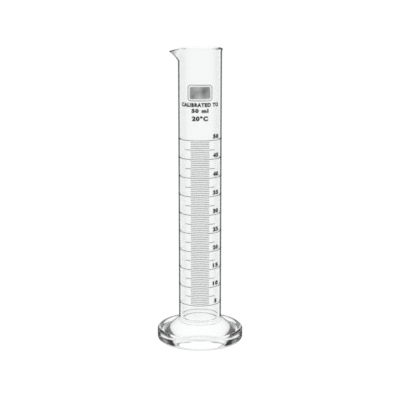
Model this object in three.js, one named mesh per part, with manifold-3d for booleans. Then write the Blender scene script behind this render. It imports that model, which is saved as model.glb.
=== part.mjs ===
// A 50 ml graduated measuring cylinder of clear glass: a drawn tube with a flared, flame-polished rim and
// a pulled pouring spout, fused to a pressed round foot, with a fired enamel scale, numerals and panel.
// Millimetres, +Z up. The origin is the centre of the foot's underside. The scale faces -Y, the spout
// points to -X, and the numerals stand on the +X side of the scale.
import * as THREE from 'three';
import { mergeVertices } from 'three/addons/utils/BufferGeometryUtils.js';
import Module from 'manifold-3d';

// Driving dimensions of the glass.
const TUBE_R = 13.25;
const WALL = 1.45;
const BORE_R = TUBE_R - WALL;
const TOTAL_HEIGHT = 181.8;
const FLOOR_Z = 12.8;           // top of the solid bottom inside the bore
const FLOOR_CORNER_R = 3;       // rounding where the bore meets its floor
const TUBE_BASE_Z = 10;         // underside of the tube, inside the foot's socket
const TUBE_BASE_CORNER_R = 3.2;
const RIM_FLARE = 1.15;         // how far the rim stands out from the tube
const RIM_FLARE_HEIGHT = 3.4;
const SEGMENTS = 60;            // flat sides round every turned body

// The spout is the rim pulled out towards -X, with straight flanks and a rounded tip.
const SPOUT_REACH = 5.2;        // beyond the rim's outer edge
const SPOUT_DROP = 2;           // of the tip below the rim
const SPOUT_HEIGHT = 8;         // from the rim down to where the wall is round again
const SPOUT_HALF_ANGLE = THREE.MathUtils.degToRad(45);
const SPOUT_TIP_ANGLE = THREE.MathUtils.degToRad(7);
const SPOUT_PULL_POWER = 1.2;

// The foot: a cone that carries the tube and falls to a gutter, inside a thick round rim.
const FOOT_R = 26.8;
const FOOT_EDGE_R = 1.7;
const FOOT_TOP_Z = 7.6;         // crest of the rim
const GUTTER_R = 22.3;
const GUTTER_Z = 5.2;
const CONE_TOP_Z = 13.4;        // where the cone would meet the tube if it had no fillet
const CONE_SLOPE = (CONE_TOP_Z - GUTTER_Z) / (GUTTER_R - TUBE_R);
const BLEND = 1.2;              // reach of the fillets at both ends of the cone
const SEAT_INNER_R = 22;
const RECESS_HEIGHT = 0.6;      // of the hollow under the foot, at its centre
const SEAM_GAP = 0.05;          // between the tube and its socket

// The scale. Heights come from the volume that the bore holds below each mark.
const CAPACITY_ML = 50;
const MAJOR_STEP_ML = 5;
const ENAMEL_LIFT = 0.05;
const ENAMEL_THICKNESS = 0.1;
const ENAMEL_INNER_R = TUBE_R + ENAMEL_LIFT;
const ENAMEL_OUTER_R = ENAMEL_INNER_R + ENAMEL_THICKNESS;
const ENAMEL_STEP_ANGLE = 7.5;  // degrees that one flat side of a line spans
const MAJOR_LINE = 0.36;
const HALF_LINE = 0.3;
const MAJOR_HALF_ANGLE = 97;    // degrees each side of the front
const HALF_HALF_ANGLE = 42;

// Numerals.
const NUMERAL_HEIGHT = 2.8;
const NUMERAL_WIDTH = 2;
const NUMERAL_STROKE = 0.56;
const BOWL_STEP_ANGLE = 30;     // degrees that one flat side of a digit's bowl spans
const NUMERAL_ANGLE = 46;       // degrees from the front, towards +X
const DIGIT_PITCH_ANGLE = 11;
const NUMERAL_RISE = 0.9;       // of a numeral's foot above its ring

// Marking panel: a rounded frame with a plain write-on patch in it.
const PANEL_LOW_Z = 151.1;
const PANEL_HIGH_Z = 160.7;
const PANEL_WIDTH = 14.6;
const PANEL_CORNER_R = 1.8;
const PANEL_LINE = 0.5;
const PATCH_MARGIN = 1.1;
const PANEL_SHEET_HALF_ANGLE = 39;

const wasm = await Module();
wasm.setup();

const glass = new THREE.MeshStandardMaterial({
  name: 'clear_glass', color: 0xeff4f2, roughness: 0.04, metalness: 0, transparent: true, opacity: 0.35,
});
const blackEnamel = new THREE.MeshStandardMaterial({
  name: 'black_enamel', color: 0x111212, roughness: 0.45, metalness: 0,
});
const greyEnamel = new THREE.MeshStandardMaterial({
  name: 'grey_enamel', color: 0x9b9d9d, roughness: 0.6, metalness: 0,
});

// ---------------------------------------------------------------- shared geometry

function arcPoints(centreR, centreZ, radius, fromDegrees, toDegrees, steps) {
  return Array.from({ length: steps + 1 }, (_, i) => {
    const a = THREE.MathUtils.degToRad(THREE.MathUtils.lerp(fromDegrees, toDegrees, i / steps));
    return new THREE.Vector2(centreR + radius * Math.cos(a), centreZ + radius * Math.sin(a));
  });
}

function turned(profile) {
  const geometry = new THREE.LatheGeometry(profile, SEGMENTS);
  return geometry.rotateX(Math.PI / 2);
}

function solidOf(geometry) {
  const bare = geometry.clone();
  bare.deleteAttribute('normal');
  bare.deleteAttribute('uv');
  const merged = mergeVertices(bare, 1e-4);
  return new wasm.Manifold(new wasm.Mesh({
    numProp: 3,
    vertProperties: new Float32Array(merged.attributes.position.array),
    triVerts: new Uint32Array(merged.index.array),
  }));
}

function geometryOf(solid) {
  const mesh = solid.getMesh();
  const geometry = new THREE.BufferGeometry();
  geometry.setAttribute('position', new THREE.BufferAttribute(mesh.vertProperties, 3));
  geometry.setIndex(new THREE.BufferAttribute(mesh.triVerts, 1));
  geometry.computeVertexNormals();
  return geometry;
}

function namedMesh(name, geometry, material) {
  const mesh = new THREE.Mesh(geometry, material);
  mesh.name = name;
  return mesh;
}

// ---------------------------------------------------------------- glass tube

function rimFlareAt(z) {
  const rise = Math.max(0, (z - (TOTAL_HEIGHT - RIM_FLARE_HEIGHT)) / RIM_FLARE_HEIGHT);
  return RIM_FLARE * rise ** 2;
}

// Heights at which the upper wall gets a ring of vertices, from the spout's root to just below the rim.
function upperWallHeights() {
  const below = [8.4, 7, 5.7, 4.5, 3.4, 2.4, 1.5];
  return below.map((depth) => TOTAL_HEIGHT - depth);
}

function tubeProfile() {
  const axisBottom = new THREE.Vector2(0, TUBE_BASE_Z);
  const baseCorner = arcPoints(
    TUBE_R - TUBE_BASE_CORNER_R, TUBE_BASE_Z + TUBE_BASE_CORNER_R, TUBE_BASE_CORNER_R, -90, 0, 4);
  const outerWall = upperWallHeights().map((z) => new THREE.Vector2(TUBE_R + rimFlareAt(z), z));
  const lipR = WALL / 2;
  const lipZ = TOTAL_HEIGHT - lipR;
  const lip = arcPoints(TUBE_R - lipR + rimFlareAt(lipZ), lipZ, lipR, 0, 180, 6);
  const innerWall = upperWallHeights().reverse().map((z) => new THREE.Vector2(BORE_R + rimFlareAt(z), z));
  const floorCorner = arcPoints(
    BORE_R - FLOOR_CORNER_R, FLOOR_Z + FLOOR_CORNER_R, FLOOR_CORNER_R, 0, -90, 5);
  const axisFloor = new THREE.Vector2(0, FLOOR_Z);
  return [axisBottom, ...baseCorner, ...outerWall, ...lip, ...innerWall, ...floorCorner, axisFloor];
}

// 1 at the tip and 0 outside the spout: the polar form of two flanks that leave the rim on a tangent.
function spoutShape(angleFromTip) {
  const softened = Math.hypot(angleFromTip, SPOUT_TIP_ANGLE);
  if (softened >= SPOUT_HALF_ANGLE) return 0;
  const widening = 1 / Math.cos(SPOUT_HALF_ANGLE - softened) - 1;
  const wideningAtTip = 1 / Math.cos(SPOUT_HALF_ANGLE - SPOUT_TIP_ANGLE) - 1;
  return widening / wideningAtTip;
}

function pullSpout(geometry) {
  const position = geometry.attributes.position;
  const rootZ = TOTAL_HEIGHT - SPOUT_HEIGHT;
  for (let i = 0; i < position.count; i += 1) {
    const x = position.getX(i);
    const y = position.getY(i);
    const z = position.getZ(i);
    if (z > rootZ) {
      const shape = spoutShape(Math.atan2(y, -x));
      const pull = ((z - rootZ) / SPOUT_HEIGHT) ** SPOUT_PULL_POWER;
      const radius = Math.hypot(x, y);
      const stretch = (radius + SPOUT_REACH * shape * pull) / radius;
      position.setXYZ(i, x * stretch, y * stretch, z - SPOUT_DROP * shape * pull);
    }
  }
  return geometry;
}

function glassTube() {
  return namedMesh('glass_tube', pullSpout(turned(tubeProfile())), glass);
}

// ---------------------------------------------------------------- glass foot

function recessProfile(steps) {
  return Array.from({ length: steps }, (_, i) => {
    const r = SEAT_INNER_R * (1 - (i + 1) / steps);
    const rise = (1 - (r / SEAT_INNER_R) ** 2) ** 2;
    return new THREE.Vector2(r, RECESS_HEIGHT * rise);
  });
}

function onCone(r) {
  return new THREE.Vector2(r, CONE_TOP_Z - CONE_SLOPE * (r - TUBE_R));
}

// Top of the foot from the tube outwards: fillet, cone, gutter and the bank up to the rim's crest.
function footTopProfile(socketR, edgeR) {
  const neckFillet = new THREE.CubicBezierCurve(
    new THREE.Vector2(socketR, CONE_TOP_Z + BLEND),
    new THREE.Vector2(socketR, CONE_TOP_Z + BLEND / 3),
    onCone(TUBE_R + BLEND / 3),
    onCone(TUBE_R + BLEND),
  );
  const gutter = new THREE.CubicBezierCurve(
    onCone(GUTTER_R - BLEND),
    onCone(GUTTER_R - BLEND / 3),
    new THREE.Vector2(GUTTER_R + BLEND / 3, GUTTER_Z),
    new THREE.Vector2(GUTTER_R + BLEND, GUTTER_Z),
  );
  const bankMiddleR = (GUTTER_R + BLEND + edgeR) / 2;
  const bank = new THREE.CubicBezierCurve(
    new THREE.Vector2(GUTTER_R + BLEND, GUTTER_Z),
    new THREE.Vector2(bankMiddleR, GUTTER_Z),
    new THREE.Vector2(bankMiddleR, FOOT_TOP_Z),
    new THREE.Vector2(edgeR, FOOT_TOP_Z),
  );
  return [...neckFillet.getPoints(4), ...gutter.getPoints(4), ...bank.getPoints(5).slice(1, -1)];
}

function footProfile() {
  const socketR = TUBE_R + SEAM_GAP;
  const socketZ = TUBE_BASE_Z - SEAM_GAP;
  const cornerR = TUBE_BASE_CORNER_R;
  const axisTop = new THREE.Vector2(0, socketZ);
  const socketCorner = arcPoints(socketR - cornerR, socketZ + cornerR, cornerR, -90, 0, 4);
  const edgeR = FOOT_R - FOOT_EDGE_R;
  const topEdge = arcPoints(edgeR, FOOT_TOP_Z - FOOT_EDGE_R, FOOT_EDGE_R, 90, 0, 4);
  const bottomEdge = arcPoints(edgeR, FOOT_EDGE_R, FOOT_EDGE_R, 0, -90, 4);
  const seatInner = new THREE.Vector2(SEAT_INNER_R, 0);
  const upperSide = [...socketCorner, ...footTopProfile(socketR, edgeR), ...topEdge];
  const underside = [...bottomEdge, seatInner, ...recessProfile(6)];
  return [axisTop, ...upperSide, ...underside].reverse();
}

function glassFoot() {
  return namedMesh('glass_foot', turned(footProfile()), glass);
}

// ---------------------------------------------------------------- enamel lines

// The volume that the rounded floor corner takes away, as a height of the full bore.
function cornerHeight() {
  const sectionArea = FLOOR_CORNER_R ** 2 * (1 - Math.PI / 4);
  const sectionR = BORE_R - 0.2234 * FLOOR_CORNER_R;
  return (2 * Math.PI * sectionR * sectionArea) / (Math.PI * BORE_R ** 2);
}

function heightOf(millilitres) {
  return FLOOR_Z + cornerHeight() + (millilitres * 1000) / (Math.PI * BORE_R ** 2);
}

// A thin curved band that hugs the front of the tube, from one side of the front to the other.
function enamelBand(halfAngleDegrees, lowZ, height) {
  const half = THREE.MathUtils.degToRad(halfAngleDegrees);
  const front = -Math.PI / 2;
  const band = new THREE.Shape();
  band.absarc(0, 0, ENAMEL_OUTER_R, front - half, front + half, false);
  band.absarc(0, 0, ENAMEL_INNER_R, front + half, front - half, true);
  // A Shape cuts an arc into twice as many steps as curveSegments says.
  const curveSegments = Math.ceil(halfAngleDegrees / ENAMEL_STEP_ANGLE);
  return new THREE.ExtrudeGeometry(band, { depth: height, bevelEnabled: false, curveSegments })
    .translate(0, 0, lowZ);
}

function lineMark(name, millilitres, halfAngleDegrees, lineWidth) {
  const lowZ = heightOf(millilitres) - lineWidth / 2;
  return namedMesh(name, enamelBand(halfAngleDegrees, lowZ, lineWidth), blackEnamel);
}

function majorVolumes() {
  const count = CAPACITY_ML / MAJOR_STEP_ML;
  return Array.from({ length: count }, (_, i) => (i + 1) * MAJOR_STEP_ML);
}

function scaleLines() {
  const lines = [];
  for (const volume of majorVolumes()) {
    const label = String(volume).padStart(2, '0');
    lines.push(lineMark(`ring_mark_${label}ml`, volume, MAJOR_HALF_ANGLE, MAJOR_LINE));
    if (volume < CAPACITY_ML) {
      const between = volume + MAJOR_STEP_ML / 2;
      const betweenLabel = between.toFixed(1).replace('.', '_').padStart(4, '0');
      lines.push(lineMark(`half_mark_${betweenLabel}ml`, between, HALF_HALF_ANGLE, HALF_LINE));
    }
  }
  return lines;
}

// ---------------------------------------------------------------- numerals

// A flat plate of enamel thickness that touches the front of the scale's cylinder on its middle line.
// The outline has x across and y up.
function frontPlate(shape) {
  const geometry = new THREE.ExtrudeGeometry(shape, { depth: ENAMEL_THICKNESS, bevelEnabled: false });
  return solidOf(geometry.rotateX(Math.PI / 2).translate(0, -ENAMEL_INNER_R, 0));
}

// A straight stroke of the pen, as a bar with square ends.
function bar(x0, y0, x1, y1) {
  const along = new THREE.Vector2(x1 - x0, y1 - y0).normalize().multiplyScalar(NUMERAL_STROKE / 2);
  const across = new THREE.Vector2(-along.y, along.x);
  const from = new THREE.Vector2(x0, y0).sub(along);
  const to = new THREE.Vector2(x1, y1).add(along);
  return frontPlate(new THREE.Shape([
    from.clone().sub(across), to.clone().sub(across), to.clone().add(across), from.clone().add(across),
  ]));
}

// A curved stroke: part of an ellipse from one angle to another, anticlockwise, in degrees.
function bowl(cx, cy, rx, ry, fromDegrees, toDegrees) {
  const from = THREE.MathUtils.degToRad(fromDegrees);
  const to = THREE.MathUtils.degToRad(toDegrees);
  const half = NUMERAL_STROKE / 2;
  const outer = new THREE.EllipseCurve(cx, cy, rx + half, ry + half, from, to);
  const inner = new THREE.EllipseCurve(cx, cy, rx - half, ry - half, from, to);
  const steps = Math.ceil((toDegrees - fromDegrees) / BOWL_STEP_ANGLE);
  return frontPlate(new THREE.Shape([...outer.getPoints(steps), ...inner.getPoints(steps).reverse()]));
}

// Strokes of each digit. x runs from -w to w and y from 0 to h, both along the middle of the stroke.
function digitStrokes(digit) {
  const w = (NUMERAL_WIDTH - NUMERAL_STROKE) / 2;
  const h = NUMERAL_HEIGHT - NUMERAL_STROKE;
  const upperR = h * 0.24;
  const lowerR = h * 0.28;
  const strokes = {
    0: () => [bowl(0, h / 2, w, h / 2, 0, 180), bowl(0, h / 2, w, h / 2, 179, 361)],
    1: () => [bar(0.1, 0, 0.1, h), bar(-0.45, h * 0.78, 0.1, h)],
    2: () => [bowl(0, h - w, w, w, -35, 170), bar(w * 0.8, h * 0.48, -w, 0), bar(-w, 0, w, 0)],
    3: () => [bowl(0, h - upperR, w, upperR, -95, 165), bowl(0, lowerR, w, lowerR, -165, 95)],
    4: () => [bar(w * 0.5, 0, w * 0.5, h), bar(w * 0.5, h, -w, h * 0.3), bar(-w, h * 0.3, w, h * 0.3)],
    5: () => [bar(-w, h, w, h), bar(-w, h, -w, h * 0.5), bar(-w, h * 0.52, 0, h * 0.56),
      bowl(0, lowerR, w, lowerR, -160, 100)],
  };
  return strokes[digit]();
}

function digitMesh(name, digit, baseZ, angleDegrees) {
  const drawn = digitStrokes(digit).reduce((joined, stroke) => joined.add(stroke));
  const mesh = namedMesh(name, geometryOf(drawn), blackEnamel);
  mesh.position.z = baseZ + NUMERAL_STROKE / 2;
  mesh.rotation.z = THREE.MathUtils.degToRad(angleDegrees);
  return mesh;
}

function numerals() {
  const meshes = [];
  for (const volume of majorVolumes()) {
    const digits = String(volume);
    const label = digits.padStart(2, '0');
    const baseZ = heightOf(volume) + NUMERAL_RISE;
    const places = digits.length === 1 ? ['ones'] : ['tens', 'ones'];
    places.forEach((place, i) => {
      const angle = NUMERAL_ANGLE + DIGIT_PITCH_ANGLE * (i - (places.length - 1) / 2);
      meshes.push(digitMesh(`numeral_${label}_${place}`, digits[i], baseZ, angle));
    });
  }
  return meshes;
}

// ---------------------------------------------------------------- marking panel

function roundedRectangle(width, height, cornerR) {
  const x = width / 2 - cornerR;
  const y = height / 2 - cornerR;
  const shape = new THREE.Shape();
  shape.absarc(x, y, cornerR, 0, Math.PI / 2, false);
  shape.absarc(-x, y, cornerR, Math.PI / 2, Math.PI, false);
  shape.absarc(-x, -y, cornerR, Math.PI, Math.PI * 1.5, false);
  shape.absarc(x, -y, cornerR, Math.PI * 1.5, Math.PI * 2, false);
  return shape;
}

// An upright block with the panel's outline, deep enough to pass through the front of the enamel.
function panelBlock(inset) {
  const height = PANEL_HIGH_Z - PANEL_LOW_Z;
  const shape = roundedRectangle(PANEL_WIDTH - 2 * inset, height - 2 * inset, PANEL_CORNER_R - inset / 2);
  const block = new THREE.ExtrudeGeometry(shape, { depth: TUBE_R, bevelEnabled: false, curveSegments: 3 });
  return solidOf(block.rotateX(Math.PI / 2).translate(0, -WALL, (PANEL_LOW_Z + PANEL_HIGH_Z) / 2));
}

function markingPanel() {
  const sheetHeight = PANEL_HIGH_Z - PANEL_LOW_Z + 2;
  const sheet = solidOf(enamelBand(PANEL_SHEET_HALF_ANGLE, PANEL_LOW_Z - 1, sheetHeight));
  const frame = sheet.intersect(panelBlock(0)).subtract(panelBlock(PANEL_LINE));
  const patch = sheet.intersect(panelBlock(PATCH_MARGIN));
  return [
    namedMesh('panel_frame', geometryOf(frame), blackEnamel),
    namedMesh('writing_patch', geometryOf(patch), greyEnamel),
  ];
}

// ---------------------------------------------------------------- assembly

const cylinder = new THREE.Group();
cylinder.name = 'graduated_cylinder';
cylinder.add(glassTube(), glassFoot(), ...scaleLines(), ...numerals(), ...markingPanel());

export default cylinder;
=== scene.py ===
"""Looks of a 50 ml graduated measuring cylinder: clear glass tube and foot with a fired enamel scale.

Lengths are in millimetres until a mesh is made, and the frame is the CAD frame: +Z up, scale towards -Y,
spout towards -X. An angle round the tube is measured from its front, towards +X.
"""
import math

import bmesh
import bpy
from mathutils import Matrix, Vector


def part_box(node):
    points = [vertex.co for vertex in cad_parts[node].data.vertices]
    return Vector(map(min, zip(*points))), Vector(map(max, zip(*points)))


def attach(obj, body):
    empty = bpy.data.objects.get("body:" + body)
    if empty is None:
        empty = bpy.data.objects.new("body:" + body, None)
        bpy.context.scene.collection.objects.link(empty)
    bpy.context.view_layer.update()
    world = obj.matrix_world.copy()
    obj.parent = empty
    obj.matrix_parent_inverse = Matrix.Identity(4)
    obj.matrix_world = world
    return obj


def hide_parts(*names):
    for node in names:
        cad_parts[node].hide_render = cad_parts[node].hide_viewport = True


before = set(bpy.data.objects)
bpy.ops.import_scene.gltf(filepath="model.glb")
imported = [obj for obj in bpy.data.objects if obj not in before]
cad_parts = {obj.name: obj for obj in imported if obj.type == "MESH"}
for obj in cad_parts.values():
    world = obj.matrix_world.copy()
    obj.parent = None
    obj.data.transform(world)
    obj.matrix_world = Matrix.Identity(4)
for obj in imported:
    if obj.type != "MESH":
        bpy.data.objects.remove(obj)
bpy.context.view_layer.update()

MM = 0.001
BODY = "root"
TOLERANCE = 1e-6


def box_mm(node):
    low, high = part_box(node)
    return low / MM, high / MM


def middle_z(node):
    low, high = box_mm(node)
    return (low.z + high.z) / 2


# The scale.
CAPACITY_ML = 50
MAJOR_STEP_ML = 5
FINE_PER_MAJOR = 10
MAJOR_VOLUMES = range(MAJOR_STEP_ML, CAPACITY_ML + 1, MAJOR_STEP_ML)

# Measured from the frame. The enamel solids stand off the glass by their lift and their thickness.
TUBE_LOW, TUBE_HIGH = box_mm("glass_tube")
PANEL_LOW, PANEL_HIGH = box_mm("panel_frame")
PATCH_LOW, PATCH_HIGH = box_mm("writing_patch")
MAJOR_HEIGHTS = {volume: middle_z(f"ring_mark_{volume:02d}ml") for volume in MAJOR_VOLUMES}
CAD_ENAMEL_STAND_OFF = 0.15
TUBE_R = -box_mm("ring_mark_50ml")[0].y - CAD_ENAMEL_STAND_OFF
TUBE_BASE_Z = TUBE_LOW.z
TOTAL_HEIGHT = TUBE_HIGH.z
RIM_FLARE = TUBE_HIGH.x - TUBE_R
FOOT_R = box_mm("glass_foot")[1].x

# Tube: a wall, a rounded bottom outside and in, and a rim that flares over its last few millimetres.
WALL = 1.45
BORE_R = TUBE_R - WALL
FLOOR_Z = 12.8
FLOOR_CORNER_R = 3.0
TUBE_BASE_CORNER_R = 3.2
RIM_FLARE_HEIGHT = 3.4

# Spout: the wall is pulled out and down at the rim. The half angle is how far round the tube it starts,
# and the tip angle rounds the tip.
SPOUT_REACH = 5.2
SPOUT_DROP = 2.0
SPOUT_HEIGHT = 8.0
SPOUT_HALF_ANGLE = math.radians(45)
SPOUT_TIP_ANGLE = math.radians(7)
SPOUT_PULL_POWER = 1.2

# Foot: a cone falls from the tube to a gutter inside a raised rim. It stands on a ring round a hollow.
# The blend rounds the neck and the gutter.
FOOT_EDGE_R = 1.7
FOOT_TOP_Z = 7.6
GUTTER_R = 22.3
GUTTER_Z = 5.2
CONE_TOP_Z = 13.4
CONE_SLOPE = (CONE_TOP_Z - GUTTER_Z) / (GUTTER_R - TUBE_R)
BLEND = 1.2
NECK_Z = CONE_TOP_Z + BLEND
SEAT_INNER_R = 22.0
RECESS_HEIGHT = 0.6

GLASS_SEGMENTS = 288
SHARP_ANGLE = math.radians(35)

# Enamel. It is fired into the glass, so it starts a little below the surface. Half angles are in degrees.
ENAMEL_DEPTH = 0.02
ENAMEL_HEIGHT = 0.05
SHOULDER_HEIGHT = 0.4 * ENAMEL_HEIGHT
CROWN_PER_WIDTH = 0.6
LINE_STEP_DEGREES = 1.5
MAJOR_LINE_WIDTH = 0.34
HALF_LINE_WIDTH = 0.32
FINE_LINE_WIDTH = 0.32
MAJOR_HALF_ANGLE = 97
HALF_HALF_ANGLE = 42
FINE_HALF_ANGLE = 25

# Numerals and lettering. The angle is in degrees. The weight thickens the outlines of type of size 1.
NUMERAL_HEIGHT = 2.8
NUMERAL_ANGLE = 46
NUMERAL_RISE = 0.9
NUMERAL_WIDTH_PER_DIGIT = 2.5
NUMERAL_GAP = 0.4
TYPE_WEIGHT = 0.07
TYPE_SPACING = 1.18
TYPE_CURVE_STEPS = 4
LETTERING = (
    # text, middle height, capital height, width along the glass
    ("CALIBRATED TO", 148.8, 2.55, 25.0),
    ("50 ml", 145.3, 2.55, 10.4),
    ("20°C", 140.7, 3.1, 9.8),
)

# Marking panel.
PANEL_LINE_WIDTH = 0.36
PANEL_CORNER_R = 1.8
PATCH_CORNER_R = PANEL_CORNER_R / 2
CORNER_STEPS = 8

# Glass material. The dark outline, the dark line along a level crest and the darker faces that turn under
# are painted shade: camera rays see the glass's colour mixed towards a dark colour there. This stands in for
# the dark surroundings that the glass bends and reflects into view at its edges, and for shade under the
# faces that turn under. A slant is 0 for a face seen square on and 1 at a grazing angle. Each range gives
# where
# an effect starts and where it is full: the painted outline (slant), a level crest (height of the normal),
# a face that turns under (depth of the normal) and how far it has turned from the eye (slant).
GLASS_TINT = (0.985, 0.995, 0.99)
GLASS_IOR = 1.47
# Painted shade: the dark colour that the glass's colour is mixed towards at its outline, crests and
# undercuts.
PAINTED_OUTLINE_SHADE = (0.01, 0.012, 0.011)
TUBE_EDGE_RANGE = (0.60, 0.65)
FOOT_EDGE_RANGE = (0.76, 0.82)
LEVEL_RANGE = (0.9, 0.97)
FOOT_CREST_GAIN = 0.12
UNDERCUT_RANGE = (0.3, 0.6)
# Painted shade: how far a face that turns under is darkened, at most.
UNDERCUT_PAINTED_SHADE = 0.75
TURNING_RANGE = (0.2, 0.45)
WAVE_SCALE = 140
WAVE_HEIGHT = 0.02 * MM
TUBE_DRAW_RATIO = 12
FOOT_DRAW_RATIO = 1

# Enamel materials: a dark and a light tone, how rough they are, and the scale of their cloudiness.
BLACK_TONES = ((0.008, 0.008, 0.009), (0.022, 0.022, 0.023))
BLACK_ROUGHNESS = 0.42
BLACK_CLOUD_SCALE = 900
GREY_TONES = ((0.22, 0.225, 0.225), (0.72, 0.73, 0.73))
GREY_ROUGHNESS = 0.6
GREY_CLOUD_SCALE = 170
ROUGHNESS_SPREAD = (-0.08, 0.1)
ROUGHNESS_SCALE = 2500
PEEL_SCALE = 5000
PEEL_STRENGTH = 0.25
PEEL_HEIGHT = 0.02 * MM

# Most of a noise texture's values lie in this range. Noise scales are per metre, bump heights in metres.
NOISE_RANGE = (0.3, 0.7)

# Studio. Directions are unit vectors as the camera sees them. The backdrop is bright near straight ahead,
# dark far to the sides and dim far up and down; the room behind the camera is evenly grey. The floor follows
# the same rule. Reflections see a narrower backdrop, and the light on the enamel is even.
SIDE_RANGE = (0.72, 0.86)
DARK_LEVEL = 0.02
RISE_RANGE = (0.6, 0.85)
DIM_LEVEL = 0.85
BACKDROP_LEVEL = 1.06
AHEAD_RANGE = (-0.1, 0.3)
ROOM_LEVEL = 0.18
REFLECTION_NARROWING = 3.0
ENAMEL_LIGHT = 0.85
FLOOR_HALF = 2000
FLOOR_GAP = 0.05

# Camera, in millimetres and degrees.
CAMERA_DISTANCE = 600
CAMERA_HEIGHT = 215
CAMERA_PITCH = 11.89
CAMERA_LENS = 89.4
CAMERA_SENSOR = 36
CAMERA_CLIP_START = 10

# Clear glass needs many bounces, and a wide pixel filter softens its thin dark outlines.
GLASS_BOUNCES = 32
GLOSSY_BOUNCES = 16
PIXEL_FILTER_WIDTH = 1.8


# ---------------------------------------------------------------- curves in a plane

def arc(centre_x, centre_y, radius, start, end, steps):
    """Points of an arc from start to end, in degrees."""
    points = []
    for i in range(steps + 1):
        a = math.radians(start + (end - start) * i / steps)
        points.append((centre_x + radius * math.cos(a), centre_y + radius * math.sin(a)))
    return points


def bezier(p0, p1, p2, p3, steps):
    """Points of a cubic curve from p0 to p3 that leaves towards p1 and arrives from p2."""
    points = []
    for i in range(steps + 1):
        t = i / steps
        weights = ((1 - t) ** 3, 3 * t * (1 - t) ** 2, 3 * t * t * (1 - t), t ** 3)
        points.append(tuple(sum(w * p[k] for w, p in zip(weights, (p0, p1, p2, p3))) for k in (0, 1)))
    return points


def spread(start, end, steps):
    """Points strictly between start and end, evenly spaced."""
    return [
        tuple(start[k] + (end[k] - start[k]) * i / steps for k in (0, 1))
        for i in range(1, steps)
    ]


def rounded_rectangle(half_width, half_height, corner_r):
    """Points of a rounded rectangle, anticlockwise."""
    points = []
    for side_x, side_y, start in ((1, 1, 0), (-1, 1, 90), (-1, -1, 180), (1, -1, 270)):
        centre_x = side_x * (half_width - corner_r)
        centre_y = side_y * (half_height - corner_r)
        points += arc(centre_x, centre_y, corner_r, start, start + 90, CORNER_STEPS)
    return points


# ---------------------------------------------------------------- mesh tools

def new_object(name, mesh, material, *more_materials):
    obj = bpy.data.objects.new(name, mesh)
    bpy.context.scene.collection.objects.link(obj)
    for each in (material, *more_materials):
        mesh.materials.append(each)
    return obj


def add_piece(obj, slot, *nodes):
    """Puts a finished piece on the body, in place of the CAD nodes that it stands for."""
    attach(obj, BODY)
    if nodes:
        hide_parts(*nodes)


def join_loops(bm, first, second):
    """Faces between two closed loops that have the same number of points."""
    count = len(first)
    for k in range(count):
        n = (k + 1) % count
        bm.faces.new((first[k], first[n], second[n], second[k]))


def turned_rings(profile):
    """Vertices of a turned (r, z) profile, and the vertex numbers round each of its points."""
    vertices = []
    rings = []
    for r, z in profile:
        first = len(vertices)
        if r < TOLERANCE:
            rings.append([first] * GLASS_SEGMENTS)
            vertices.append((0, 0, z * MM))
            continue
        rings.append(range(first, first + GLASS_SEGMENTS))
        for j in range(GLASS_SEGMENTS):
            a = 2 * math.pi * j / GLASS_SEGMENTS
            vertices.append((r * math.cos(a) * MM, r * math.sin(a) * MM, z * MM))
    return vertices, rings


def turn(name, profile, glass, seam, in_seam):
    """Turns a closed (r, z) profile that starts and ends on the axis, walked with the glass on its left.

    Faces between profile points a and b take the seam's material where in_seam(a, b) is true.
    """
    vertices, rings = turned_rings(profile)
    faces = []
    face_materials = []
    for a, b, low, high in zip(profile, profile[1:], rings, rings[1:]):
        for j in range(GLASS_SEGMENTS):
            k = (j + 1) % GLASS_SEGMENTS
            corners = (low[j], low[k], high[k], high[j])
            faces.append(tuple(dict.fromkeys(corners)))
        face_materials += [int(in_seam(a, b))] * GLASS_SEGMENTS
    mesh = bpy.data.meshes.new(name)
    mesh.from_pydata(vertices, [], faces)
    mesh.polygons.foreach_set("material_index", face_materials)
    mesh.shade_smooth()
    mesh.set_sharp_from_angle(angle=SHARP_ANGLE)
    return new_object(name, mesh, glass, seam)


# ---------------------------------------------------------------- glass tube

def rim_flare(z):
    rise = max(0.0, (z - (TOTAL_HEIGHT - RIM_FLARE_HEIGHT)) / RIM_FLARE_HEIGHT)
    return RIM_FLARE * rise ** 2


def upper_wall_heights():
    """Heights from just below the spout's root to the lip, closer together towards the rim."""
    steps = 40
    crowding = 1.3
    margin = 0.6
    lip_z = TOTAL_HEIGHT - WALL / 2
    depth = SPOUT_HEIGHT + margin
    return [lip_z - depth * (1 - i / steps) ** crowding for i in range(steps)]


def base_corner(start, end):
    """The rounded edge of the tube's base, which the foot's socket follows."""
    centre_z = TUBE_BASE_Z + TUBE_BASE_CORNER_R
    return arc(TUBE_R - TUBE_BASE_CORNER_R, centre_z, TUBE_BASE_CORNER_R, start, end, steps=10)


def tube_profile():
    """From the middle of the base up the outside, over the lip and down the bore to its floor."""
    outer_corner = base_corner(-90, 0)
    neck = (TUBE_R, NECK_Z)
    heights = upper_wall_heights()
    outer = [(TUBE_R + rim_flare(z), z) for z in heights]
    inner = [(BORE_R + rim_flare(z), z) for z in reversed(heights)]
    lip_r = WALL / 2
    lip_z = TOTAL_HEIGHT - lip_r
    lip = arc(TUBE_R - lip_r + rim_flare(lip_z), lip_z, lip_r, 0, 180, steps=20)
    floor_corner = arc(
        BORE_R - FLOOR_CORNER_R, FLOOR_Z + FLOOR_CORNER_R, FLOOR_CORNER_R, 0, -90, steps=18)
    return [
        (0, TUBE_BASE_Z), *spread((0, TUBE_BASE_Z), outer_corner[0], 4), *outer_corner,
        neck, *spread(neck, outer[0], 12), *outer, *lip, *inner,
        *spread(inner[-1], floor_corner[0], 12), *floor_corner,
        *spread(floor_corner[-1], (0, FLOOR_Z), 6), (0, FLOOR_Z),
    ]


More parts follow.
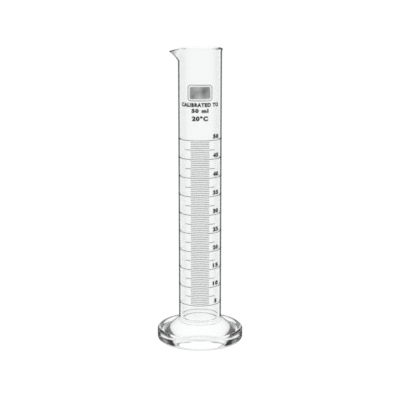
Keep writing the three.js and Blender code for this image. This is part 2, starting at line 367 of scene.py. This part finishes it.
def spout_shape(angle):
    """1 at the tip, 0 outside the spout: two flanks that leave the rim on a tangent, with a rounded tip."""
    softened = math.hypot(angle, SPOUT_TIP_ANGLE)
    if softened >= SPOUT_HALF_ANGLE:
        return 0.0
    widening = 1 / math.cos(SPOUT_HALF_ANGLE - softened) - 1
    return widening / (1 / math.cos(SPOUT_HALF_ANGLE - SPOUT_TIP_ANGLE) - 1)


def pull_spout(mesh):
    """Pulls the wall out and down round -X, more and more towards the rim."""
    root_z = TOTAL_HEIGHT - SPOUT_HEIGHT
    for vertex in mesh.vertices:
        x, y, z = vertex.co / MM
        if z <= root_z:
            continue
        pull = spout_shape(math.atan2(y, -x)) * ((z - root_z) / SPOUT_HEIGHT) ** SPOUT_PULL_POWER
        radius = math.hypot(x, y)
        stretch = (radius + SPOUT_REACH * pull) / radius
        vertex.co = Vector((x * stretch, y * stretch, z - SPOUT_DROP * pull)) * MM
    mesh.update()


def tube_in_seam(a, b):
    """Whether a stretch of the tube's profile is its outside below the neck, where the foot is melted on."""
    on_bore = min(a[1], b[1]) >= FLOOR_Z - TOLERANCE and max(a[0], b[0]) <= BORE_R + TOLERANCE
    return max(a[1], b[1]) <= NECK_Z + TOLERANCE and not on_bore


def glass_tube(seam):
    glass = clear_glass("tube_glass", TUBE_EDGE_RANGE, 0.0, TUBE_DRAW_RATIO)
    obj = turn("tube", tube_profile(), glass, seam, tube_in_seam)
    pull_spout(obj.data)
    add_piece(obj, "clear_glass", "glass_tube")


# ---------------------------------------------------------------- glass foot

def recess_profile(steps):
    """The hollow underneath, from the axis to the ring that the foot stands on."""
    points = []
    for i in range(steps + 1):
        r = SEAT_INNER_R * i / steps
        points.append((r, RECESS_HEIGHT * (1 - (r / SEAT_INNER_R) ** 2) ** 2))
    return points


def on_cone(r):
    return (r, CONE_TOP_Z - CONE_SLOPE * (r - TUBE_R))


def foot_top_profile(edge_r):
    """The top of the foot from the rim's crest inwards: bank, gutter, cone and the fillet at the tube."""
    bank_middle_r = (GUTTER_R + BLEND + edge_r) / 2
    bank = bezier(
        (edge_r, FOOT_TOP_Z), (bank_middle_r, FOOT_TOP_Z),
        (bank_middle_r, GUTTER_Z), (GUTTER_R + BLEND, GUTTER_Z), steps=20)
    gutter = bezier(
        (GUTTER_R + BLEND, GUTTER_Z), (GUTTER_R + BLEND / 3, GUTTER_Z),
        on_cone(GUTTER_R - BLEND / 3), on_cone(GUTTER_R - BLEND), steps=16)
    neck_fillet = bezier(
        on_cone(TUBE_R + BLEND), on_cone(TUBE_R + BLEND / 3),
        (TUBE_R, CONE_TOP_Z + BLEND / 3), (TUBE_R, NECK_Z), steps=16)
    return [*bank[1:], *gutter[1:], *spread(gutter[-1], neck_fillet[0], 10), *neck_fillet]


def foot_profile():
    """From the middle of the hollow out, up and over the rim, up the cone, and down into the socket."""
    edge_r = FOOT_R - FOOT_EDGE_R
    bottom_edge = arc(edge_r, FOOT_EDGE_R, FOOT_EDGE_R, -90, 0, steps=14)
    top_edge = arc(edge_r, FOOT_TOP_Z - FOOT_EDGE_R, FOOT_EDGE_R, 0, 90, steps=14)
    socket_corner = base_corner(0, -90)
    return [
        *recess_profile(steps=40), *spread((SEAT_INNER_R, 0), bottom_edge[0], 3), *bottom_edge,
        *spread(bottom_edge[-1], top_edge[0], 5), *top_edge, *foot_top_profile(edge_r), *socket_corner,
        *spread(socket_corner[-1], (0, TUBE_BASE_Z), 4), (0, TUBE_BASE_Z),
    ]


def foot_in_seam(a, b):
    """Whether a stretch of the foot's profile is its socket, where the tube is melted in."""
    inside_tube = max(a[0], b[0]) <= TUBE_R + TOLERANCE
    return inside_tube and min(a[1], b[1]) >= TUBE_BASE_Z - TOLERANCE


def glass_foot(seam):
    glass = clear_glass("foot_glass", FOOT_EDGE_RANGE, FOOT_CREST_GAIN, FOOT_DRAW_RATIO)
    obj = turn("foot", foot_profile(), glass, seam, foot_in_seam)
    add_piece(obj, "clear_glass", "glass_foot")


# ---------------------------------------------------------------- enamel lines

def on_glass(angle, out, z):
    """A point at an angle from the front, out from the glass surface, at height z."""
    r = TUBE_R + out
    return Vector((r * math.sin(angle), -r * math.cos(angle), z)) * MM


def add_line(bm, z, half_angle_degrees, width):
    """A line of enamel with a softly domed section, wrapped on the front of the tube."""
    half = width / 2
    crown = half * CROWN_PER_WIDTH
    section = (
        (-ENAMEL_DEPTH, -half), (SHOULDER_HEIGHT, -half), (ENAMEL_HEIGHT, -crown),
        (ENAMEL_HEIGHT, crown), (SHOULDER_HEIGHT, half), (-ENAMEL_DEPTH, half),
    )
    reach = math.radians(half_angle_degrees)
    steps = math.ceil(half_angle_degrees / LINE_STEP_DEGREES)
    loops = []
    for i in range(-steps, steps + 1):
        angle = reach * i / steps
        loops.append([bm.verts.new(on_glass(angle, out, z + up)) for out, up in section])
    for first, second in zip(loops, loops[1:]):
        join_loops(bm, first, second)
    bm.faces.new(loops[0])
    bm.faces.new(loops[-1])


def enamel_lines(name, lines, material):
    """One piece of enamel lines, each given by its height, half angle and width."""
    bm = bmesh.new()
    for z, half_angle, width in lines:
        add_line(bm, z, half_angle, width)
    bmesh.ops.recalc_face_normals(bm, faces=bm.faces)
    mesh = bpy.data.meshes.new(name)
    bm.to_mesh(mesh)
    bm.free()
    return new_object(name, mesh, material)


def major_rings(material):
    for volume, z in MAJOR_HEIGHTS.items():
        ring = enamel_lines(f"ring_{volume:02d}ml", [(z, MAJOR_HALF_ANGLE, MAJOR_LINE_WIDTH)], material)
        add_piece(ring, "black_enamel", f"ring_mark_{volume:02d}ml")


def half_lines(material):
    """Middle-length lines, halfway between neighbouring rings."""
    for volume in MAJOR_VOLUMES[:-1]:
        label = f"{volume + MAJOR_STEP_ML // 2:02d}_5ml"
        z = middle_z(f"half_mark_{label}")
        line = enamel_lines(f"half_{label}", [(z, HALF_HALF_ANGLE, HALF_LINE_WIDTH)], material)
        add_piece(line, "black_enamel", f"half_mark_{label}")


def fine_lines(material):
    """Short lines at the divisions between the rings, apart from where a middle-length line is."""
    lines = []
    for volume in MAJOR_VOLUMES[:-1]:
        z = MAJOR_HEIGHTS[volume]
        step = (MAJOR_HEIGHTS[volume + MAJOR_STEP_ML] - z) / FINE_PER_MAJOR
        for i in range(1, FINE_PER_MAJOR):
            if i != FINE_PER_MAJOR // 2:
                lines.append((z + step * i, FINE_HALF_ANGLE, FINE_LINE_WIDTH))
    add_piece(enamel_lines("fine_lines", lines, material), "black_enamel")


# ---------------------------------------------------------------- printed characters

def wrap_on_glass(mesh, angle_degrees, z):
    """Bends a flat mesh round the tube: x runs along the glass, y up, and z out of it."""
    bm = bmesh.new()
    bm.from_mesh(mesh)
    reach = max(abs(v.co.x) for v in bm.verts)
    cut_spacing = 0.5
    on_plane_distance = 1e-5
    cuts = int(reach / cut_spacing)
    for i in range(-cuts, cuts + 1):
        bmesh.ops.bisect_plane(
            bm, geom=[*bm.verts, *bm.edges, *bm.faces], dist=on_plane_distance,
            plane_co=(i * cut_spacing, 0, 0), plane_no=(1, 0, 0))
    for vertex in bm.verts:
        x, y, out = vertex.co
        vertex.co = on_glass(math.radians(angle_degrees) + x / TUBE_R, out, z + y)
    bmesh.ops.recalc_face_normals(bm, faces=bm.faces)
    bm.to_mesh(mesh)
    bm.free()


def flat_type(name, text):
    """A mesh of raised characters in the XY plane, at the font's own size."""
    curve = bpy.data.curves.new(name + "_outline", "FONT")
    curve.body = text
    curve.align_x = "CENTER"
    curve.extrude = (ENAMEL_DEPTH + ENAMEL_HEIGHT) / 2
    curve.offset = TYPE_WEIGHT
    curve.space_character = TYPE_SPACING
    curve.resolution_u = TYPE_CURVE_STEPS
    outline = bpy.data.objects.new(name + "_outline", curve)
    bpy.context.scene.collection.objects.link(outline)
    bpy.context.view_layer.update()
    mesh = bpy.data.meshes.new_from_object(outline)
    bpy.data.objects.remove(outline)
    mesh.name = name
    return mesh


def fit(mesh, width, height):
    """Centres a flat mesh, stretches it to a width and height, and sets it at the enamel's depth."""
    low = [min(v.co[k] for v in mesh.vertices) for k in (0, 1)]
    high = [max(v.co[k] for v in mesh.vertices) for k in (0, 1)]
    centre = Vector(((low[0] + high[0]) / 2, (low[1] + high[1]) / 2, 0))
    stretch = (width / (high[0] - low[0]), height / (high[1] - low[1]), 1, 1)
    out = (ENAMEL_HEIGHT - ENAMEL_DEPTH) / 2
    mesh.transform(
        Matrix.Translation((0, 0, out)) @ Matrix.Diagonal(stretch) @ Matrix.Translation(-centre))


def printed_text(name, text, capital_height, width, angle_degrees, z, material):
    """Raised characters centred on (angle, z), stretched to the asked height and width."""
    mesh = flat_type(name, text)
    fit(mesh, width, capital_height)
    wrap_on_glass(mesh, angle_degrees, z)
    return new_object(name, mesh, material)


def numerals(material):
    for volume, ring_z in MAJOR_HEIGHTS.items():
        digits = str(volume)
        z = ring_z + NUMERAL_RISE + NUMERAL_HEIGHT / 2
        width = NUMERAL_WIDTH_PER_DIGIT * len(digits) - NUMERAL_GAP
        name = f"numeral_{volume:02d}"
        numeral = printed_text(name, digits, NUMERAL_HEIGHT, width, NUMERAL_ANGLE, z, material)
        places = ("tens", "ones")[-len(digits):]
        add_piece(numeral, "black_enamel", *[f"{name}_{place}" for place in places])


def lettering(material):
    for i, (text, z, capital_height, width) in enumerate(LETTERING, start=1):
        line = printed_text(f"lettering_{i}", text, capital_height, width, 0, z, material)
        add_piece(line, "black_enamel")


# ---------------------------------------------------------------- marking panel

def plate(name, outline, hole, material):
    """A thin plate on the front of the tube, with an outline and perhaps a hole of as many points."""
    bm = bmesh.new()
    layers = []
    for out in (-ENAMEL_DEPTH, ENAMEL_HEIGHT):
        layers.append([[bm.verts.new((x, y, out)) for x, y in loop] for loop in (outline, hole) if loop])
    for low, high in zip(*layers):
        join_loops(bm, low, high)
    for loops in layers:
        if hole:
            join_loops(bm, *loops)
        else:
            bm.faces.new(loops[0])
    mesh = bpy.data.meshes.new(name)
    bm.to_mesh(mesh)
    bm.free()
    wrap_on_glass(mesh, 0, (PANEL_LOW.z + PANEL_HIGH.z) / 2)
    return new_object(name, mesh, material)


def along_glass(half_chord):
    """Length along the glass from its front to an enamel solid's edge, half_chord to the side."""
    return TUBE_R * math.asin(half_chord / (TUBE_R + CAD_ENAMEL_STAND_OFF))


def marking_panel(line_material, patch_material):
    half_width = along_glass(PANEL_HIGH.x)
    half_height = (PANEL_HIGH.z - PANEL_LOW.z) / 2
    outline = rounded_rectangle(half_width, half_height, PANEL_CORNER_R)
    hole = rounded_rectangle(
        half_width - PANEL_LINE_WIDTH, half_height - PANEL_LINE_WIDTH,
        PANEL_CORNER_R - PANEL_LINE_WIDTH)
    add_piece(plate("panel_line", outline, hole, line_material), "black_enamel", "panel_frame")
    patch = rounded_rectangle(
        along_glass(PATCH_HIGH.x), (PATCH_HIGH.z - PATCH_LOW.z) / 2, PATCH_CORNER_R)
    add_piece(plate("panel_patch", patch, None, patch_material), "grey_enamel", "writing_patch")


# ---------------------------------------------------------------- shader nodes

def empty_tree(owner):
    """The emptied node tree of a new material or world."""
    owner.use_nodes = True
    owner.node_tree.nodes.clear()
    return owner.node_tree


def new_surface(name):
    """A new material with its node tree and its main shader."""
    material = bpy.data.materials.new(name)
    material.use_nodes = True
    return material, material.node_tree, material.node_tree.nodes["Principled BSDF"]


def split(tree, vector):
    """The X, Y and Z outputs of a vector."""
    node = tree.nodes.new("ShaderNodeSeparateXYZ")
    tree.links.new(vector, node.inputs["Vector"])
    return node.outputs


def combine(tree, operation, a, b=0.0):
    """A Math node on one or two sockets or numbers."""
    node = tree.nodes.new("ShaderNodeMath")
    node.operation = operation
    for value, socket in zip((a, b), node.inputs):
        if isinstance(value, (int, float)):
            socket.default_value = value
        else:
            tree.links.new(value, socket)
    return node.outputs[0]


def map_range(tree, value, from_range, to_range, interpolation="SMOOTHSTEP"):
    """A value carried from one range to another and held inside it."""
    node = tree.nodes.new("ShaderNodeMapRange")
    node.interpolation_type = interpolation
    node.inputs["From Min"].default_value, node.inputs["From Max"].default_value = from_range
    node.inputs["To Min"].default_value, node.inputs["To Max"].default_value = to_range
    tree.links.new(value, node.inputs["Value"])
    return node.outputs["Result"]


def noise_between(tree, coordinate, scale, to_range, detail=4):
    """Noise that runs over to_range."""
    noise = tree.nodes.new("ShaderNodeTexNoise")
    noise.inputs["Scale"].default_value = scale
    noise.inputs["Detail"].default_value = detail
    tree.links.new(coordinate, noise.inputs["Vector"])
    return map_range(tree, noise.outputs["Fac"], NOISE_RANGE, to_range, "LINEAR")


def object_coordinate(tree):
    return tree.nodes.new("ShaderNodeTexCoord").outputs["Object"]


def add_bump(tree, height, shader, strength, distance):
    bump = tree.nodes.new("ShaderNodeBump")
    bump.inputs["Strength"].default_value = strength
    bump.inputs["Distance"].default_value = distance
    tree.links.new(height, bump.inputs["Height"])
    tree.links.new(bump.outputs["Normal"], shader.inputs["Normal"])


def mix_colours(tree, factor, a, b):
    mix = tree.nodes.new("ShaderNodeMix")
    mix.data_type = "RGBA"
    mix.inputs["A"].default_value = (*a, 1)
    mix.inputs["B"].default_value = (*b, 1)
    tree.links.new(factor, mix.inputs["Factor"])
    return mix.outputs["Result"]


# ---------------------------------------------------------------- materials

def add_waviness(tree, shader, draw_ratio):
    """The faint unevenness of hot-worked glass; draw_ratio is how much longer its waves are upwards."""
    stretched = tree.nodes.new("ShaderNodeMapping")
    stretched.inputs["Scale"].default_value = (1, 1, 1 / draw_ratio)
    tree.links.new(object_coordinate(tree), stretched.inputs["Vector"])
    waves = noise_between(tree, stretched.outputs["Vector"], WAVE_SCALE, (0, 1), detail=0)
    add_bump(tree, waves, shader, 1.0, WAVE_HEIGHT)


def seen_slant(tree):
    """0 for a face seen square on, 1 at a grazing angle. On upright walls the eye's height has no effect."""
    rise = split(tree, tree.nodes.new("ShaderNodeNewGeometry").outputs["Incoming"])["Z"]
    level_squared = combine(tree, "SUBTRACT", 1.0, combine(tree, "MULTIPLY", rise, rise))
    level = combine(tree, "SQRT", level_squared)
    facing = tree.nodes.new("ShaderNodeLayerWeight").outputs["Facing"]
    square_on = combine(tree, "SUBTRACT", 1.0, facing)
    return combine(tree, "SUBTRACT", 1.0, combine(tree, "DIVIDE", square_on, level))


def outline_mask(tree, edge_range, crest_gain):
    """1 where the glass is painted dark as shade: where it is seen at a grazing angle, or where it turns
    under.

    crest_gain makes level faces count as more grazing than they are, which paints a shade line along the
    crest of a rim.
    """
    normal_rise = split(tree, tree.nodes.new("ShaderNodeNewGeometry").outputs["Normal"])["Z"]
    slant = seen_slant(tree)
    # Painted shade along level crests, counted in with the grazing outline.
    crest = map_range(tree, normal_rise, LEVEL_RANGE, (0.0, crest_gain))
    grazing = map_range(tree, combine(tree, "ADD", slant, crest), edge_range, (0.0, 1.0))
    # Painted shade on faces that turn under, growing as they turn away from the eye.
    normal_fall = combine(tree, "MULTIPLY", normal_rise, -1.0)
    undercut = map_range(tree, normal_fall, UNDERCUT_RANGE, (0.0, UNDERCUT_PAINTED_SHADE))
    turning = map_range(tree, slant, TURNING_RANGE, (0.0, 1.0))
    return combine(tree, "MAXIMUM", grazing, combine(tree, "MULTIPLY", undercut, turning))


def clear_glass(name, edge_range, crest_gain, draw_ratio):
    """Clear glass with painted shade on the surface that the eye meets first: a dark outline, crest line and
    undercut.
    """
    material, tree, shader = new_surface(name)
    add_waviness(tree, shader, draw_ratio)
    first_met = tree.nodes.new("ShaderNodeLightPath").outputs["Is Camera Ray"]
    # Painted shade: where the mask is 1, camera rays see the glass's colour mixed towards the dark outline
    # colour.
    edge = combine(tree, "MULTIPLY", outline_mask(tree, edge_range, crest_gain), first_met)
    tree.links.new(mix_colours(tree, edge, GLASS_TINT, PAINTED_OUTLINE_SHADE), shader.inputs["Base Color"])
    shader.inputs["Transmission Weight"].default_value = 1.0
    shader.inputs["Roughness"].default_value = 0.0
    shader.inputs["IOR"].default_value = GLASS_IOR
    return material


def fused_seam():
    """Inside the glass, where the tube and the foot are melted together: light passes straight through."""
    material = bpy.data.materials.new("fused_seam")
    tree = empty_tree(material)
    clear = tree.nodes.new("ShaderNodeBsdfTransparent")
    output = tree.nodes.new("ShaderNodeOutputMaterial")
    tree.links.new(clear.outputs["BSDF"], output.inputs["Surface"])
    return material


def enamel(name, tones, roughness, cloud_scale):
    """Fired screen-printed enamel: a slightly uneven film with a faint orange-peel surface."""
    material, tree, shader = new_surface(name)
    coordinate = object_coordinate(tree)
    shade = noise_between(tree, coordinate, cloud_scale, (0, 1))
    tree.links.new(mix_colours(tree, shade, *tones), shader.inputs["Base Color"])
    roughness_range = [roughness + change for change in ROUGHNESS_SPREAD]
    tree.links.new(
        noise_between(tree, coordinate, ROUGHNESS_SCALE, roughness_range), shader.inputs["Roughness"])
    peel = noise_between(tree, coordinate, PEEL_SCALE, (0, 1))
    add_bump(tree, peel, shader, PEEL_STRENGTH, PEEL_HEIGHT)
    return material


# ---------------------------------------------------------------- studio

def view_direction(tree):
    """The way back along a ray, as the camera sees it: Z is -1 for a ray sent straight ahead."""
    turned = tree.nodes.new("ShaderNodeVectorTransform")
    turned.vector_type = "VECTOR"
    turned.convert_from = "WORLD"
    turned.convert_to = "CAMERA"
    tree.links.new(tree.nodes.new("ShaderNodeNewGeometry").outputs["Incoming"], turned.inputs["Vector"])
    return split(tree, turned.outputs["Vector"])


def backdrop_brightness(tree, direction, reflected):
    """Bright near straight ahead, dark at the sides, and narrower where it is seen reflected."""
    narrowing = combine(tree, "MULTIPLY", reflected, REFLECTION_NARROWING)
    widened = combine(tree, "ADD", narrowing, 1.0)
    side = combine(tree, "ABSOLUTE", combine(tree, "MULTIPLY", direction["X"], widened))
    rise = combine(tree, "ABSOLUTE", direction["Y"])
    side_mask = map_range(tree, side, SIDE_RANGE, (1.0, DARK_LEVEL))
    rise_mask = map_range(tree, rise, RISE_RANGE, (1.0, DIM_LEVEL))
    backdrop = combine(tree, "MULTIPLY", side_mask, rise_mask)
    return combine(tree, "MULTIPLY", backdrop, BACKDROP_LEVEL)


def studio_brightness(tree):
    """White straight to the camera; light that the glass bends meets the limits of the backdrop."""
    path = tree.nodes.new("ShaderNodeLightPath").outputs
    direction = view_direction(tree)
    mix = tree.nodes.new("ShaderNodeMix")
    mix.inputs["A"].default_value = ROOM_LEVEL
    tree.links.new(backdrop_brightness(tree, direction, path["Is Reflection Ray"]), mix.inputs["B"])
    tree.links.new(map_range(tree, direction["Z"], AHEAD_RANGE, (1.0, 0.0)), mix.inputs["Factor"])
    on_enamel = combine(tree, "MULTIPLY", path["Is Diffuse Ray"], ENAMEL_LIGHT)
    brightness = combine(tree, "MAXIMUM", mix.outputs["Result"], on_enamel)
    return combine(tree, "MAXIMUM", brightness, path["Is Camera Ray"])


def studio_world():
    world = bpy.data.worlds.new("studio")
    bpy.context.scene.world = world
    tree = empty_tree(world)
    background = tree.nodes.new("ShaderNodeBackground")
    background.inputs["Color"].default_value = (1, 1, 1, 1)
    tree.links.new(studio_brightness(tree), background.inputs["Strength"])
    output = tree.nodes.new("ShaderNodeOutputWorld")
    tree.links.new(background.outputs["Background"], output.inputs["Surface"])


def pale_floor():
    material = bpy.data.materials.new("pale_floor")
    tree = empty_tree(material)
    emission = tree.nodes.new("ShaderNodeEmission")
    emission.inputs["Color"].default_value = (1, 1, 1, 1)
    tree.links.new(studio_brightness(tree), emission.inputs["Strength"])
    output = tree.nodes.new("ShaderNodeOutputMaterial")
    tree.links.new(emission.outputs["Emission"], output.inputs["Surface"])
    return material


def studio_floor():
    """A square just below the foot."""
    corners = [
        Vector((side_x * FLOOR_HALF, side_y * FLOOR_HALF, -FLOOR_GAP)) * MM
        for side_x, side_y in ((-1, -1), (1, -1), (1, 1), (-1, 1))
    ]
    mesh = bpy.data.meshes.new("floor")
    mesh.from_pydata(corners, [], [(0, 1, 2, 3)])
    new_object("floor", mesh, pale_floor())


def studio_camera():
    """In front of the scale, a little above the rim, looking down at the foot."""
    camera = bpy.data.cameras.new("camera")
    camera.sensor_width = CAMERA_SENSOR
    camera.lens = CAMERA_LENS
    camera.clip_start = CAMERA_CLIP_START * MM
    obj = bpy.data.objects.new("camera", camera)
    bpy.context.scene.collection.objects.link(obj)
    obj.location = Vector((0, -CAMERA_DISTANCE, CAMERA_HEIGHT)) * MM
    obj.rotation_euler = (math.radians(90 - CAMERA_PITCH), 0, 0)
    bpy.context.scene.camera = obj


def render_settings():
    scene = bpy.context.scene
    scene.view_settings.view_transform = "Standard"
    scene.cycles.filter_width = PIXEL_FILTER_WIDTH
    scene.cycles.max_bounces = GLASS_BOUNCES
    scene.cycles.transmission_bounces = GLASS_BOUNCES
    scene.cycles.transparent_max_bounces = GLASS_BOUNCES
    scene.cycles.glossy_bounces = GLOSSY_BOUNCES


# ---------------------------------------------------------------- assembly

seam = fused_seam()
black = enamel("black_enamel", BLACK_TONES, BLACK_ROUGHNESS, BLACK_CLOUD_SCALE)
grey = enamel("grey_enamel", GREY_TONES, GREY_ROUGHNESS, GREY_CLOUD_SCALE)

glass_tube(seam)
glass_foot(seam)
major_rings(black)
half_lines(black)
fine_lines(black)
numerals(black)
lettering(black)
marking_panel(black, grey)

studio_world()
studio_floor()
studio_camera()
render_settings()
